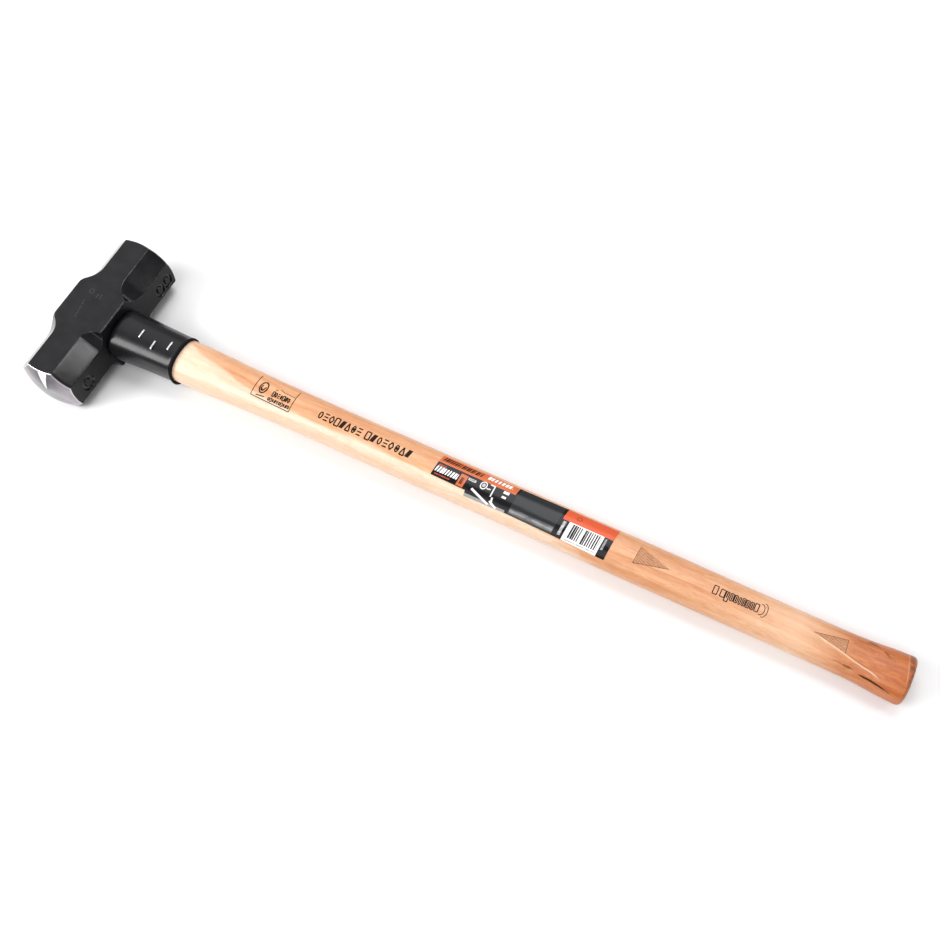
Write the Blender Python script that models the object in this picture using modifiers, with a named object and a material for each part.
"""A long-handled, double-faced sledgehammer, lying on one cheek as it lies on a floor.

The forged octagonal head has a square eye block, scooped run-outs and two crowned striking
faces. A hickory handle goes through the eye, where a wooden wedge and two steel wedges hold
it. A moulded guard, held by three wire staples, covers the handle's neck, and a printed
label lies on the handle's upper face.

Every piece is modelled in the hammer's own frame: origin at the middle of the eye, +X along
the handle towards its free end, +Y along the head, +Z square to both. One parent empty then
lays the hammer down. Units are metres.
"""

import math

import bmesh
import bpy
from mathutils import Matrix, Vector

FIT_GAP = 0.0003          # clearance between pieces that touch
OVERRUN = 0.002           # how far a cutter passes the surface it opens

# Head
HEAD_WIDTH = 0.0638       # across the flats, both ways
NEAR_POLL_REACH = 0.0849  # middle of the eye to the ridges of the -Y striking face
FAR_POLL_REACH = 0.0877   # the same on the +Y side
CROWN_RADIUS = 0.069      # striking faces are domes
CROWN_SPREAD = 1.2        # each dome is turned this much wider than the head's half width
CHAMFER = 0.0167          # leg of the chamfers that make the polls octagonal
# Each run-out: side along X, side along Y, where the facet ends and the scoop's radius
RUN_OUTS = (
    (1, -1, 0.0351, 0.0125),
    (1, 1, 0.0444, 0.0290),
    (-1, -1, 0.0451, 0.0280),
    (-1, 1, 0.0479, 0.0300),
)
EYE_NECK = (0.0190, 0.0135)   # half length and half width of the eye, on the handle's side
EYE_TOP = (0.0205, 0.0150)    # the same on the free side, where the wedges spread the handle
EYE_SQUARENESS = 2.0          # exponent of the eye's section, 2 being an ellipse

# Handle
HANDLE_REACH = 0.870      # middle of the eye to the handle's free end
HANDLE_FLATNESS = 0.76    # thickness over width
HANDLE_SQUARENESS = 2.25  # exponent of the section, 2 being an ellipse
SHOULDER_START = 0.0330   # the neck swells from the eye's size to its own
SHOULDER_END = 0.0470
END_ROUNDING = 0.0045
# Full width at stations along the handle
HANDLE_WIDTHS = (
    (0.047, 0.0468),
    (0.117, 0.0470),
    (0.141, 0.0467),
    (0.187, 0.0438),
    (0.231, 0.0420),
    (0.300, 0.0409),
    (0.390, 0.0408),
    (0.480, 0.0401),
    (0.600, 0.0403),
    (0.680, 0.0396),
    (0.775, 0.0388),
    (0.818, 0.0391),
    (0.835, 0.0408),
    (0.850, 0.0434),
    (0.870, 0.0452),
)

# Wedges, driven from the free side
KERF_DEPTH = 0.050
WOOD_WEDGE_DEPTH = 0.044
WOOD_WEDGE_THICK = 0.0070     # at the free side
WOOD_WEDGE_TIP = 0.0016
STEEL_WEDGE_WIDTH = 0.0190
STEEL_WEDGE_DEPTH = 0.0240
STEEL_WEDGE_THICK = 0.0036    # at the free side
STEEL_WEDGE_TIP = 0.0010
STEEL_WEDGE_SPREAD = 0.0092   # from the eye's middle to each steel wedge
WEDGE_SET_BACK = 0.0004       # wedges stop this far under the handle's sawn end
WOOD_WEDGE_MARGIN = 0.0035    # each end of the wooden wedge stays this far inside the neck
KERF_MIN_WIDTH = 0.0008       # of the saw cut's bottom

# Overstrike guard
GUARD_END = 0.1133
GUARD_SQUARENESS = 2.55
GUARD_HALF_WIDTHS = (0.0277, 0.0247)    # at the head and at the free end
GUARD_HALF_THICKS = (0.0228, 0.0205)
GUARD_ROUNDING = 0.0015                 # of the edge against the head
GUARD_LIP_LENGTH = 0.0040               # bead round the free end
GUARD_LIP_HEIGHT = 0.0017

# Staples: where each sits along the handle, and how far round from the top towards +Y
STAPLE_CROWN = 0.0106
STAPLE_LEG = 0.0085
STAPLE_WIRE = (0.0013, 0.0007)          # width and thickness of the flat wire
STAPLE_HOLE_GROWTH = 0.0004
STAPLES = (
    ("guard_staple_1", 0.0650, -0.0004),
    ("guard_staple_2", 0.0835, -0.0066),
    ("guard_staple_3", 0.1003, 0.0002),
)

# Printed label
LABEL_START = 0.4135
LABEL_END = 0.5960
LABEL_THICK = 0.0004
LABEL_BACK_ANGLE = math.radians(44)     # edge on the +Y side, round from +Y over the top
LABEL_FRONT_ANGLE = math.radians(134)   # edge on the -Y side

# Steps of the curved surfaces
SECTION_POINTS = 48
CROWN_RINGS = 9
CROWN_TURN_STEPS = 64
SCOOP_STEPS = 14
SHOULDER_STEPS = 4
SHAFT_STEPS = 36
ROUNDING_STEPS = 4
GUARD_STEPS = 5
LIP_STEPS = 8
LABEL_STEPS_AROUND = 12
LABEL_STEPS_ALONG = 12

HALF = HEAD_WIDTH / 2
CROWN_SAG = math.sqrt(CROWN_RADIUS ** 2 - HALF ** 2 - (HALF - CHAMFER) ** 2)
NEAR_CROWN_CENTRE = CROWN_SAG - NEAR_POLL_REACH
FAR_CROWN_CENTRE = FAR_POLL_REACH - CROWN_SAG
HEAD_REACH = FAR_CROWN_CENTRE + CROWN_RADIUS + OVERRUN


# ---------------------------------------------------------------- scene and materials

def clear_scene():
    for obj in list(bpy.data.objects):
        bpy.data.objects.remove(obj)


def new_collection(name, is_helper=False):
    collection = bpy.data.collections.new(name)
    bpy.context.scene.collection.children.link(collection)
    collection.hide_render = is_helper
    return collection


def new_material(name, colour, roughness, metallic=0.0):
    material = bpy.data.materials.new(name)
    material.use_nodes = True
    shader = material.node_tree.nodes["Principled BSDF"]
    shader.inputs["Base Color"].default_value = (*colour, 1.0)
    shader.inputs["Roughness"].default_value = roughness
    shader.inputs["Metallic"].default_value = metallic
    material.diffuse_color = (*colour, 1.0)
    return material


def add_object(name, mesh, collection):
    obj = bpy.data.objects.new(name, mesh)
    collection.objects.link(obj)
    return obj


def mesh_from(bm, name):
    bmesh.ops.recalc_face_normals(bm, faces=bm.faces)
    mesh = bpy.data.meshes.new(name)
    bm.to_mesh(mesh)
    bm.free()
    return mesh


def add_cutter(name, mesh):
    cutter = add_object(name, mesh, CUTTERS)
    cutter.hide_render = True
    cutter.display_type = "WIRE"
    return cutter


def add_boolean(obj, cutter, operation="DIFFERENCE"):
    modifier = obj.modifiers.new(cutter.name, "BOOLEAN")
    modifier.operation = operation
    modifier.solver = "EXACT"
    modifier.object = cutter


# ---------------------------------------------------------------- shape helpers

def smooth_between(stations, x):
    """The value at x on a smooth curve through (position, value) stations."""
    if x <= stations[0][0]:
        return stations[0][1]
    if x >= stations[-1][0]:
        return stations[-1][1]
    i = max(k for k in range(len(stations) - 1) if stations[k][0] <= x)
    x0, v0 = stations[i]
    x1, v1 = stations[i + 1]
    span = x1 - x0

    def slope(k):
        before = stations[max(k - 1, 0)]
        after = stations[min(k + 1, len(stations) - 1)]
        return (after[1] - before[1]) / (after[0] - before[0])

    t = (x - x0) / span
    rise = (2 * t ** 3 - 3 * t ** 2 + 1) * v0 + (3 * t ** 2 - 2 * t ** 3) * v1
    turn = (t ** 3 - 2 * t ** 2 + t) * slope(i) + (t ** 3 - t ** 2) * slope(i + 1)
    return rise + span * turn


def mix(a, b, share):
    return a + (b - a) * share


def oval_point(x, half_width, half_thick, squareness, angle):
    """A point of a squared-off oval across the handle; angle runs from +Y over +Z."""
    c, s = math.cos(angle), math.sin(angle)
    power = 2 / squareness
    y = half_width * math.copysign(abs(c) ** power, c)
    z = half_thick * math.copysign(abs(s) ** power, s)
    return Vector((x, y, z))


def oval_ring(x, half_width, half_thick, squareness):
    step = math.tau / SECTION_POINTS
    return [oval_point(x, half_width, half_thick, squareness, step * i)
            for i in range(SECTION_POINTS)]


def loft_mesh(name, rings):
    """A closed solid through rings of equally many points."""
    bm = bmesh.new()
    loops = [[bm.verts.new(point) for point in ring] for ring in rings]
    for low, high in zip(loops, loops[1:]):
        for i in range(len(low)):
            j = (i + 1) % len(low)
            bm.faces.new((low[i], low[j], high[j], high[i]))
    bm.faces.new(loops[0])
    bm.faces.new(loops[-1])
    return mesh_from(bm, name)


def box_mesh(name, low, high):
    bm = bmesh.new()
    bmesh.ops.create_cube(bm, size=1.0)
    size = [h - l for l, h in zip(low, high)]
    middle = [(h + l) / 2 for l, h in zip(low, high)]
    bmesh.ops.scale(bm, vec=size, verts=bm.verts)
    bmesh.ops.translate(bm, vec=middle, verts=bm.verts)
    return mesh_from(bm, name)


def extruded_mesh(name, outline, depth_vector):
    """A prism: a flat outline swept along a vector."""
    bm = bmesh.new()
    near = [bm.verts.new(point) for point in outline]
    far = [bm.verts.new(Vector(point) + depth_vector) for point in outline]
    for i in range(len(near)):
        j = (i + 1) % len(near)
        bm.faces.new((near[i], near[j], far[j], far[i]))
    bm.faces.new(near)
    bm.faces.new(far)
    return mesh_from(bm, name)


def wedge_mesh(name, start, depth, width, thick, tip, across_z, growth=0.0):
    """A driving wedge from x = start inwards. across_z puts its width along Z, else Y."""
    rings = []
    for x, t in ((start - growth, thick), (start + depth + growth, tip)):
        w, h = width / 2 + growth, t / 2 + growth
        half_y, half_z = (h, w) if across_z else (w, h)
        corners = ((-1, -1), (1, -1), (1, 1), (-1, 1))
        rings.append([Vector((x, sy * half_y, sz * half_z)) for sy, sz in corners])
    return loft_mesh(name, rings)


def shade_smooth(obj, sharp_degrees=32):
    obj.data.shade_smooth()
    obj.data.set_sharp_from_angle(angle=math.radians(sharp_degrees))


# ---------------------------------------------------------------- head

def crown_envelope():
    """A turned body about Y whose two ends are the domes of the striking faces."""
    rim_angle = math.asin(HALF * CROWN_SPREAD / CROWN_RADIUS)
    dome = []
    for i in range(CROWN_RINGS + 1):
        angle = rim_angle * i / CROWN_RINGS
        dome.append((CROWN_RADIUS * math.sin(angle), CROWN_RADIUS * math.cos(angle)))
    far = [(radius, FAR_CROWN_CENTRE + rise) for radius, rise in dome]
    near = [(radius, NEAR_CROWN_CENTRE - rise) for radius, rise in reversed(dome)]
    profile = far + [(HEAD_WIDTH, far[-1][1]), (HEAD_WIDTH, near[0][1])] + near
    bm = bmesh.new()
    verts = [bm.verts.new((radius, 0.0, y)) for radius, y in profile]
    for a, b in zip(verts, verts[1:]):
        bm.edges.new((a, b))
    mesh = bpy.data.meshes.new("crown_envelope")
    bm.to_mesh(mesh)
    bm.free()
    envelope = add_cutter("crown_envelope", mesh)
    screw = envelope.modifiers.new("turn", "SCREW")
    screw.axis = "Z"
    screw.steps = CROWN_TURN_STEPS
    screw.render_steps = CROWN_TURN_STEPS
    screw.use_merge_vertices = True
    screw.merge_threshold = 0.00005
    envelope.rotation_euler = (math.radians(-90), 0, 0)
    return envelope


def run_out_cutter(side_x, side_y, side_z, facet_end, radius):
    """Removes one edge of the square bar from a striking face up to a scooped run-out."""
    facet_reach = (HEAD_WIDTH - CHAMFER) / math.sqrt(2)
    corner_reach = HEAD_WIDTH / math.sqrt(2)
    top = corner_reach + OVERRUN
    mouth = HEAD_REACH + OVERRUN
    rise = min(top - facet_reach, radius)
    outline = [(mouth, facet_reach)]
    for i in range(SCOOP_STEPS + 1):
        height = rise * (i / SCOOP_STEPS) ** 2
        run = math.sqrt(max(2 * radius * height - height ** 2, 0.0))
        outline.append((facet_end - run, facet_reach + height))
    outline.append((outline[-1][0], top))
    outline.append((mouth, top))
    across = Vector((side_x, 0, side_z)) / math.sqrt(2)
    along = Vector((side_x, 0, -side_z)) / math.sqrt(2)
    points = [along * -CHAMFER + across * reach + Vector((0, side_y * y, 0))
              for y, reach in outline]
    name = f"run_out_{'xX'[side_x > 0]}{'yY'[side_y > 0]}{'zZ'[side_z > 0]}"
    return add_cutter(name, extruded_mesh(name, points, along * 2 * CHAMFER))


def eye_half_sizes(x, growth=0.0):
    share = (x + HALF) / HEAD_WIDTH
    return [mix(top, neck, share) + growth for top, neck in zip(EYE_TOP, EYE_NECK)]


def make_head(material):
    bar = box_mesh("head", (-HALF, -HEAD_REACH, -HALF), (HALF, HEAD_REACH, HALF))
    head = add_object("head", bar, PARTS)
    add_boolean(head, crown_envelope(), "INTERSECT")
    for side_x, side_y, facet_end, radius in RUN_OUTS:
        for side_z in (-1, 1):
            add_boolean(head, run_out_cutter(side_x, side_y, side_z, facet_end, radius))
    rings = [oval_ring(x, *eye_half_sizes(x), EYE_SQUARENESS)
             for x in (-HALF - OVERRUN, HALF + OVERRUN)]
    add_boolean(head, add_cutter("eye", loft_mesh("eye", rings)))
    head.data.materials.append(material)
    return head


# ---------------------------------------------------------------- handle and wedges

def handle_half_sizes(x):
    """Half width and half thickness of the handle's section at x."""
    swollen = smooth_between(HANDLE_WIDTHS, x) / 2
    grown = [swollen, swollen * HANDLE_FLATNESS]
    if x >= SHOULDER_END:
        return grown
    in_eye = eye_half_sizes(min(x, HALF), -FIT_GAP)
    if x <= SHOULDER_START:
        return in_eye
    share = (x - SHOULDER_START) / (SHOULDER_END - SHOULDER_START)
    return [mix(a, b, math.sin(share * math.pi / 2)) for a, b in zip(in_eye, grown)]


def handle_ring(x, shrink=0.0):
    half_width, half_thick = handle_half_sizes(x)
    squareness = EYE_SQUARENESS if x <= SHOULDER_START else HANDLE_SQUARENESS
    return oval_ring(x, half_width - shrink, half_thick - shrink, squareness)


def handle_rings():
    shaft_end = HANDLE_REACH - END_ROUNDING
    stations = [-HALF, 0.0, SHOULDER_START]
    stations += [mix(SHOULDER_START, SHOULDER_END, i / SHOULDER_STEPS)
                 for i in range(1, SHOULDER_STEPS + 1)]
    stations += [mix(SHOULDER_END, shaft_end, i / SHAFT_STEPS)
                 for i in range(1, SHAFT_STEPS + 1)]
    rings = [handle_ring(x) for x in stations]
    for i in range(1, ROUNDING_STEPS + 1):
        angle = i / ROUNDING_STEPS * math.pi / 2
        x = shaft_end + END_ROUNDING * math.sin(angle)
        rings.append(handle_ring(x, END_ROUNDING * (1 - math.cos(angle))))
    return rings


def steel_wedge_names():
    return (("steel_wedge_front", -STEEL_WEDGE_SPREAD), ("steel_wedge_back", STEEL_WEDGE_SPREAD))


def steel_wedge(name, offset, growth=0.0):
    start = -HALF + WEDGE_SET_BACK
    mesh = wedge_mesh(name, start, STEEL_WEDGE_DEPTH, STEEL_WEDGE_WIDTH, STEEL_WEDGE_THICK,
                      STEEL_WEDGE_TIP, True, growth)
    mesh.transform(Matrix.Translation((0, offset, 0)))
    return mesh


def make_wooden_wedge(material):
    width = 2 * (EYE_NECK[0] - WOOD_WEDGE_MARGIN)
    mesh = wedge_mesh("wooden_wedge", -HALF + WEDGE_SET_BACK, WOOD_WEDGE_DEPTH, width,
                      WOOD_WEDGE_THICK, WOOD_WEDGE_TIP, False)
    wedge = add_object("wooden_wedge", mesh, PARTS)
    wedge.data.materials.append(material)
    return wedge


def kerf_cutter():
    """The saw cut that the wooden wedge spreads, open at the sawn end and at both sides."""
    share = KERF_DEPTH / WOOD_WEDGE_DEPTH
    tip = max(mix(WOOD_WEDGE_THICK, WOOD_WEDGE_TIP, share), KERF_MIN_WIDTH)
    width = 2 * (EYE_TOP[0] + OVERRUN)
    mesh = wedge_mesh("kerf", -HALF + WEDGE_SET_BACK, KERF_DEPTH, width,
                      WOOD_WEDGE_THICK, tip, False, FIT_GAP)
    mesh.transform(Matrix.Translation((-OVERRUN, 0, 0)))
    return add_cutter("kerf", mesh)


def make_handle(material):
    handle = add_object("handle", loft_mesh("handle", handle_rings()), PARTS)
    add_boolean(handle, kerf_cutter())
    handle.data.materials.append(material)
    shade_smooth(handle)
    return handle


def make_steel_wedges(material, cut_pieces):
    for name, offset in steel_wedge_names():
        wedge = add_object(name, steel_wedge(name, offset), PARTS)
        wedge.data.materials.append(material)
        slot_mesh = steel_wedge(name + "_slot", offset, FIT_GAP)
        slot_mesh.transform(Matrix.Translation((-FIT_GAP, 0, 0)))
        slot = add_cutter(name + "_slot", slot_mesh)
        for piece in cut_pieces:
            add_boolean(piece, slot)


# ---------------------------------------------------------------- guard and staples

def guard_half_sizes(x):
    share = (x - HALF) / (GUARD_END - HALF)
    half_width = mix(*GUARD_HALF_WIDTHS, share)
    half_thick = mix(*GUARD_HALF_THICKS, share)
    return half_width, half_thick


def guard_ring(x, growth=0.0):
    half_width, half_thick = guard_half_sizes(x)
    return oval_ring(x, half_width + growth, half_thick + growth, GUARD_SQUARENESS)


def guard_bore_cutter():
    start = HALF - OVERRUN
    end = GUARD_END + OVERRUN
    rings = []
    for i in range(GUARD_STEPS + 1):
        x = mix(start, end, i / GUARD_STEPS)
        half_width, half_thick = handle_half_sizes(max(x, SHOULDER_END))
        rings.append(oval_ring(x, half_width + FIT_GAP, half_thick + FIT_GAP, HANDLE_SQUARENESS))
    return add_cutter("guard_bore", loft_mesh("guard_bore", rings))


def make_guard(material):
    start = HALF + FIT_GAP
    rounded = start + GUARD_ROUNDING
    lip_start = GUARD_END - GUARD_LIP_LENGTH
    rings = []
    for i in range(ROUNDING_STEPS + 1):
        angle = i / ROUNDING_STEPS * math.pi / 2
        x = rounded - GUARD_ROUNDING * math.cos(angle)
        rings.append(guard_ring(x, -GUARD_ROUNDING * (1 - math.sin(angle))))
    for i in range(1, GUARD_STEPS + 1):
        rings.append(guard_ring(mix(rounded, lip_start, i / GUARD_STEPS)))
    for i in range(1, LIP_STEPS + 1):
        angle = i / LIP_STEPS * math.pi
        x = mix(lip_start, GUARD_END, i / LIP_STEPS)
        rings.append(guard_ring(x, GUARD_LIP_HEIGHT * math.sin(angle)))
    guard = add_object("overstrike_guard", loft_mesh("overstrike_guard", rings), PARTS)
    add_boolean(guard, guard_bore_cutter())
    guard.data.materials.append(material)
    shade_smooth(guard)
    return guard


def staple_frame(x, offset_y):
    """Where a staple's crown sits on the guard: its middle, and the way out of the surface."""
    half_width, half_thick = guard_half_sizes(x)
    n = GUARD_SQUARENESS
    height = half_thick * (1 - abs(offset_y / half_width) ** n) ** (1 / n)
    out = Vector((0.0,
                  math.copysign(abs(offset_y / half_width) ** (n - 1), offset_y) / half_width,
                  (height / half_thick) ** (n - 1) / half_thick)).normalized()
    return Vector((x, offset_y, height)), out


def staple_mesh(name, growth=0.0):
    """A flat-wire staple: crown along Y at z = 0 upwards, legs down -Z."""
    wire_w, wire_t = STAPLE_WIRE[0] / 2 + growth, STAPLE_WIRE[1]
    outer = STAPLE_CROWN / 2 + growth
    inner = STAPLE_CROWN / 2 - wire_t - growth
    base = 0.0 if growth == 0.0 else -FIT_GAP
    top = wire_t + growth
    foot = -STAPLE_LEG - growth
    outline = [(-outer, foot), (-inner, foot), (-inner, base), (inner, base), (inner, foot),
               (outer, foot), (outer, top), (-outer, top)]
    points = [Vector((-wire_w, y, z)) for y, z in outline]
    return extruded_mesh(name, points, Vector((2 * wire_w, 0, 0)))


def make_staples(material, guard, handle):
    for name, x, offset_y in STAPLES:
        point, out = staple_frame(x, offset_y)
        side = Vector((1, 0, 0))
        along = out.cross(side)
        place = Matrix((side, along, out)).transposed().to_4x4()
        place.translation = point + out * FIT_GAP
        staple = add_object(name, staple_mesh(name), PARTS)
        staple.matrix_local = place
        staple.data.materials.append(material)
        hole = add_cutter(name + "_holes", staple_mesh(name + "_holes", STAPLE_HOLE_GROWTH))
        hole.matrix_local = place
        add_boolean(guard, hole)
        add_boolean(handle, hole)


# ---------------------------------------------------------------- label

def label_grid(bm, lift):
    """Points that follow the handle's surface, raised by lift."""
    grid = []
    for i in range(LABEL_STEPS_ALONG + 1):
        x = mix(LABEL_START, LABEL_END, i / LABEL_STEPS_ALONG)
        half_width, half_thick = handle_half_sizes(x)
        row = []
        for j in range(LABEL_STEPS_AROUND + 1):
            angle = mix(LABEL_BACK_ANGLE, LABEL_FRONT_ANGLE, j / LABEL_STEPS_AROUND)
            point = oval_point(x, half_width + lift, half_thick + lift, HANDLE_SQUARENESS, angle)
            row.append(bm.verts.new(point))
        grid.append(row)
    return grid


def make_label(material):
    """A thin skin over the handle's upper face."""
    bm = bmesh.new()
    under = label_grid(bm, FIT_GAP)
    over = label_grid(bm, FIT_GAP + LABEL_THICK)
    for i in range(LABEL_STEPS_ALONG):
        for j in range(LABEL_STEPS_AROUND):
            for grid in (under, over):
                bm.faces.new((grid[i][j], grid[i + 1][j], grid[i + 1][j + 1], grid[i][j + 1]))
    for i in range(LABEL_STEPS_ALONG):
        for j in (0, -1):
            bm.faces.new((under[i][j], under[i + 1][j], over[i + 1][j], over[i][j]))
    for j in range(LABEL_STEPS_AROUND):
        for i in (0, -1):
            bm.faces.new((under[i][j], under[i][j + 1], over[i][j + 1], over[i][j]))
    label = add_object("wrap_label", mesh_from(bm, "wrap_label"), PARTS)
    label.data.materials.append(material)
    shade_smooth(label)
    return label


# ---------------------------------------------------------------- resting position

def lay_down():
    """Parents every piece and cutter to one empty that rests the hammer on the floor.

    It touches at the eye block's lower edge on the handle's side and at the handle's end.
    """
    end_station = HANDLE_REACH - END_ROUNDING
    end_drop = handle_half_sizes(end_station)[1]
    slope = (HALF - end_drop) / (end_station - HALF)
    tilt = math.atan(slope)
    floor_drop = HALF * (math.sin(tilt) + math.cos(tilt))
    free_side = -HALF * (math.cos(tilt) + math.sin(tilt))
    middle = (free_side + HANDLE_REACH * math.cos(tilt)) / 2
    rest = add_object("rest_position", None, PARTS)
    rest.rotation_euler = (0, tilt, 0)
    rest.location = (-middle, (NEAR_POLL_REACH - FAR_POLL_REACH) / 2, floor_drop)
    for obj in list(PARTS.objects) + list(CUTTERS.objects):
        if obj is not rest:
            obj.parent = rest


clear_scene()
PARTS = new_collection("sledgehammer")
CUTTERS = new_collection("sledgehammer_cutters", is_helper=True)

BLACK_PAINT = new_material("black_paint", (0.022, 0.021, 0.023), 0.42)
HICKORY = new_material("hickory", (0.80, 0.52, 0.30), 0.45)
WEDGE_WOOD = new_material("wedge_wood", (0.62, 0.42, 0.25), 0.60)
WEDGE_STEEL = new_material("wedge_steel", (0.32, 0.31, 0.30), 0.45, 1.0)
GUARD_PLASTIC = new_material("guard_plastic", (0.025, 0.025, 0.028), 0.50)
STAPLE_STEEL = new_material("staple_steel", (0.78, 0.78, 0.80), 0.25, 1.0)
LABEL_FILM = new_material("label_film", (0.08, 0.08, 0.085), 0.30)

make_head(BLACK_PAINT)
the_handle = make_handle(HICKORY)
the_wooden_wedge = make_wooden_wedge(WEDGE_WOOD)
make_steel_wedges(WEDGE_STEEL, (the_handle, the_wooden_wedge))
the_guard = make_guard(GUARD_PLASTIC)
make_staples(STAPLE_STEEL, the_guard, the_handle)
make_label(LABEL_FILM)
lay_down()
